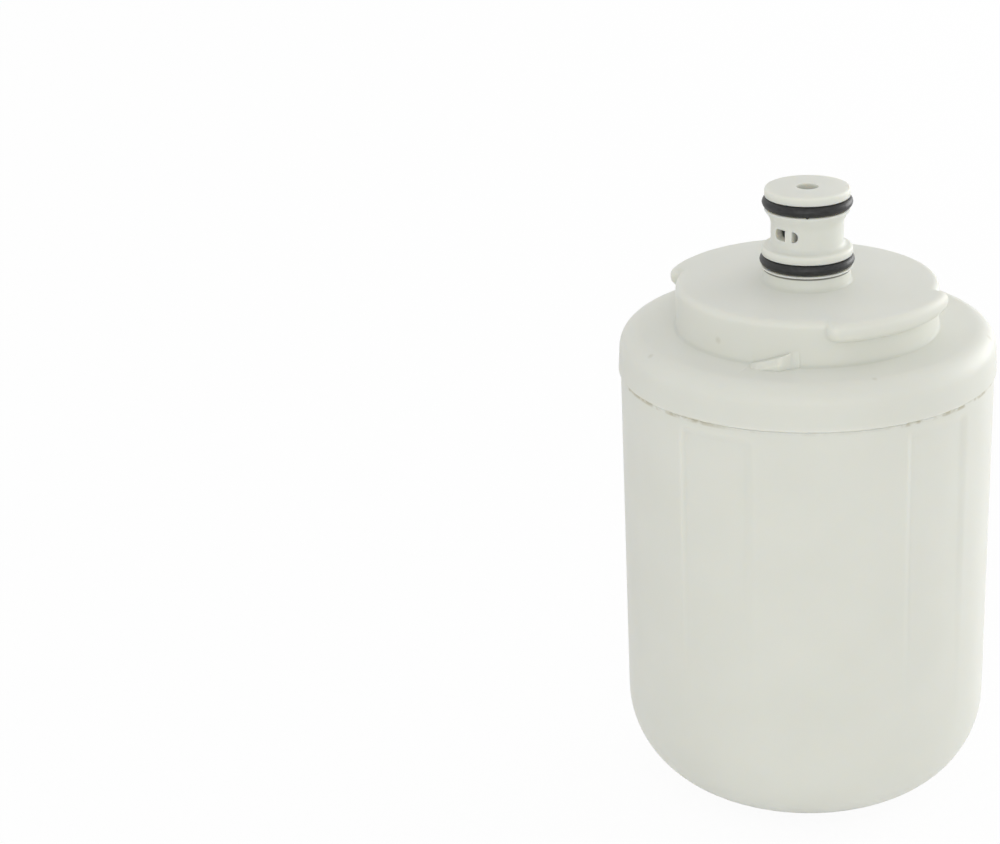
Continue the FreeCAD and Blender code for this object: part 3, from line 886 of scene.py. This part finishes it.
def mottled(name, first, second, size, relief, stretch=(1, 1, 1), **shader_sockets):
    """A finish that wanders between two colours, in patches of that size, relief and stretch."""
    material, tree, shader, place = new_finish(name, **shader_sockets)
    place = add(tree, "ShaderNodeMapping", {"Vector": place, "Scale": stretch}).outputs[0]
    patches = add(tree, "ShaderNodeTexNoise",
                  {"Vector": place, "Scale": per_mm(size), "Detail": PATCH_DETAIL}).outputs["Fac"]
    bump = add(tree, "ShaderNodeBump", {"Height": patches, "Distance": relief * MM})
    tree.links.new(tinted(tree, patches, linear(first), second), shader.inputs["Base Color"])
    tree.links.new(bump.outputs[0], shader.inputs["Normal"])
    return material


# A dull black with a breath of dust: it shows only a soft grey glint at its ends.
seal_rubber = mottled("nitrile rubber, moulded", "#030303", "#3C3D3D", size=1.3, relief=0.04,
                      stretch=(1, 1, 3), Roughness=0.42, IOR=1.4)
# Grains of carbon give a black that sparkles a little and shows no sheen.
carbon = mottled("activated carbon, bonded and extruded", "#131314", "#3A3A3C", size=0.5, relief=0.15,
                 Roughness=0.95)
# Upright fibres give a soft white that has no gloss at all. The real ones are too fine to show, so they are
# drawn far coarser.
felt = mottled("polypropylene felt, melt-blown", "#F3F3EF", "#D8D8D1", size=0.4, relief=0.2,
               stretch=(1, 1, 0.12), Roughness=1.0)
# Plastic without colour is milky, and edges glow.
natural = mottled("polypropylene, natural, moulded", "#EAEAE4", "#DCDDD5", size=9, relief=0.01, Roughness=0.4,
                  Subsurface_Weight=1.0, Subsurface_Scale=2.5 * MM)
# Set glue is honey-pale and shiny, with the streaks of its flow.
hot_melt = mottled("hot-melt glue, set", "#E9DFBC", "#D8CA9E", size=3, relief=0.1, stretch=(1, 1, 3),
                   Roughness=0.28, Subsurface_Weight=0.6, Subsurface_Scale=1.5 * MM)

# %% [markdown]
# ## Dressing the model
#
# Each new piece takes its finish, stands in for the node that it was modelled on, and belongs to the one
# body that the cartridge has. The pieces inside keep their own meshes and only get a finish.

# %% Dress the pieces
def dress(piece, material, replaced):
    """Give a new piece its finish, its body and the node it stands for."""
    piece.data.materials.clear()
    piece.data.materials.append(material)
    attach(piece, "root")
    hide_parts(replaced)


dress(bowl, bowl_plastic, "housing_bowl")
dress(head, head_plastic, "head_cap")
dress(upper_seal, seal_rubber, "upper_o_ring")
dress(lower_seal, seal_rubber, "lower_o_ring")

inner_finishes = {
    "carbon_block": carbon,
    "core_tube": natural,
    "prefilter_wrap": felt,
    "top_end_cap": natural,
    "bottom_end_cap": natural,
    "nipple_o_ring": seal_rubber,
    "upper_bond_ring": hot_melt,
    "lower_bond_disc": hot_melt,
}
for name, material in inner_finishes.items():
    for slot in nodes[name].material_slots:
        slot.material = material
    print(name, "is", material.name)

# %% [markdown]
# ## A white studio
#
# The object was photographed on pure white in a light that comes from all round. So the world is an even
# white, and the floor is white paper. Paper that is merely lit would render light grey, so most of what
# the camera sees of it is a glow of exactly white, and the rest is real paper, which keeps a faint shadow
# under the foot. Only the camera and clear reflections see that glow: it doesn't light the object.

# %% Floor and world
FLOOR_SIZE = 8
FLOOR_GLOW = 0.94
DAYLIGHT = 0.78
WHITE = (1, 1, 1, 1)


def seen_clearly(tree):
    """1 for a ray from the camera, a clear reflection or something clear, and 0 for light on the object."""
    rays = add(tree, "ShaderNodeLightPath").outputs
    seen = rays["Is Camera Ray"]
    for kind in ("Is Glossy Ray", "Is Transmission Ray"):
        seen = add(tree, "ShaderNodeMath", {0: seen, 1: rays[kind]}, operation="MAXIMUM").outputs[0]
    return seen


activate(None)
bpy.ops.mesh.primitive_plane_add(size=FLOOR_SIZE, location=(0, 0, 0))
floor = bpy.context.object
floor.name = "studio_floor"
paper, tree, shader, place = new_finish("studio paper, white", Roughness=0.9, Base_Color=linear("#FBFBFB"))
share = add(tree, "ShaderNodeMath", {0: seen_clearly(tree), 1: FLOOR_GLOW}, operation="MULTIPLY")
glow = add(tree, "ShaderNodeEmission", {"Color": WHITE, "Strength": 1.0})
blend = add(tree, "ShaderNodeMixShader", {0: share.outputs[0], 1: shader.outputs[0], 2: glow.outputs[0]})
tree.links.new(blend.outputs[0], tree.nodes["Material Output"].inputs["Surface"])
floor.data.materials.append(paper)

world = bpy.data.worlds.new("white studio")
bpy.context.scene.world = world
world.use_nodes = True
tree = world.node_tree
strength = add(tree, "ShaderNodeMapRange", {"Value": seen_clearly(tree), "To Min": DAYLIGHT, "To Max": 1.0})
background = tree.nodes["Background"]
background.inputs["Color"].default_value = WHITE
tree.links.new(strength.outputs[0], background.inputs["Strength"])
print("floor is", paper.name, "and the world is", world.name)

# %% [markdown]
# The even light alone would look flat. A large soft box behind the right shoulder brightens the right edge
# and throws the spigot's soft shadow to the left, and a weak one in front lifts the middle of the bowl.

# %% Soft boxes
AIM = Vector((0, 0, 75)) * MM


def soft_box(name, turn, rise, distance, size, power):
    """A square area lamp at that turn, rise and distance from the cartridge's middle, aimed at it."""
    lamp = bpy.data.lights.new(name, "AREA")
    lamp.energy = power
    lamp.size = size
    holder = bpy.data.objects.new(name, lamp)
    bpy.context.scene.collection.objects.link(holder)
    turn = math.radians(turn)
    rise = math.radians(rise)
    away = Vector((math.sin(turn) * math.cos(rise), -math.cos(turn) * math.cos(rise), math.sin(rise)))
    holder.location = AIM + away * distance
    holder.rotation_mode = "QUATERNION"
    holder.rotation_quaternion = (-away).to_track_quat("-Z", "Y")
    print(name, "has", power, "W")


soft_box("right soft box", turn=130, rise=2, distance=1.6, size=1.1, power=19)
soft_box("front soft box", turn=-2, rise=14, distance=1.8, size=1.2, power=6.1)

# %% [markdown]
# ## The camera
#
# The camera stands a little above the object and looks down on it by 23 degrees. The cartridge stands to
# the right of the picture, so the camera points past it on the left. Where the axis appears in the picture
# gives the angle to turn away by, and the last turn levels the horizon.

# %% Camera
DISTANCE = 670.4
ELEVATION = 22.65
IMAGE_WIDTH = 1000
FOCAL_PX = 2738
RIGHT_PX = 306.06
DOWN_PX = 63.96
ROLL = 0.43
SENSOR = 36

camera_data = bpy.data.cameras.new("camera")
camera = bpy.data.objects.new("camera", camera_data)
bpy.context.scene.collection.objects.link(camera)
bpy.context.scene.camera = camera
elevation = math.radians(ELEVATION)
back = Vector((0, -math.cos(elevation), math.sin(elevation)))
camera.location = AIM + back * DISTANCE * MM
straight = (-back).to_track_quat("-Z", "Y")
towards_object = Vector((RIGHT_PX, -DOWN_PX, -FOCAL_PX))
aside = towards_object.rotation_difference(Vector((0, 0, -1)))
camera.rotation_mode = "QUATERNION"
camera.rotation_quaternion = straight @ aside @ Quaternion((0, 0, 1), math.radians(ROLL))
camera_data.sensor_width = SENSOR
camera_data.lens = SENSOR * FOCAL_PX / IMAGE_WIDTH
bpy.context.scene.view_settings.view_transform = "Standard"
print("lens in mm:", round(camera_data.lens, 2))
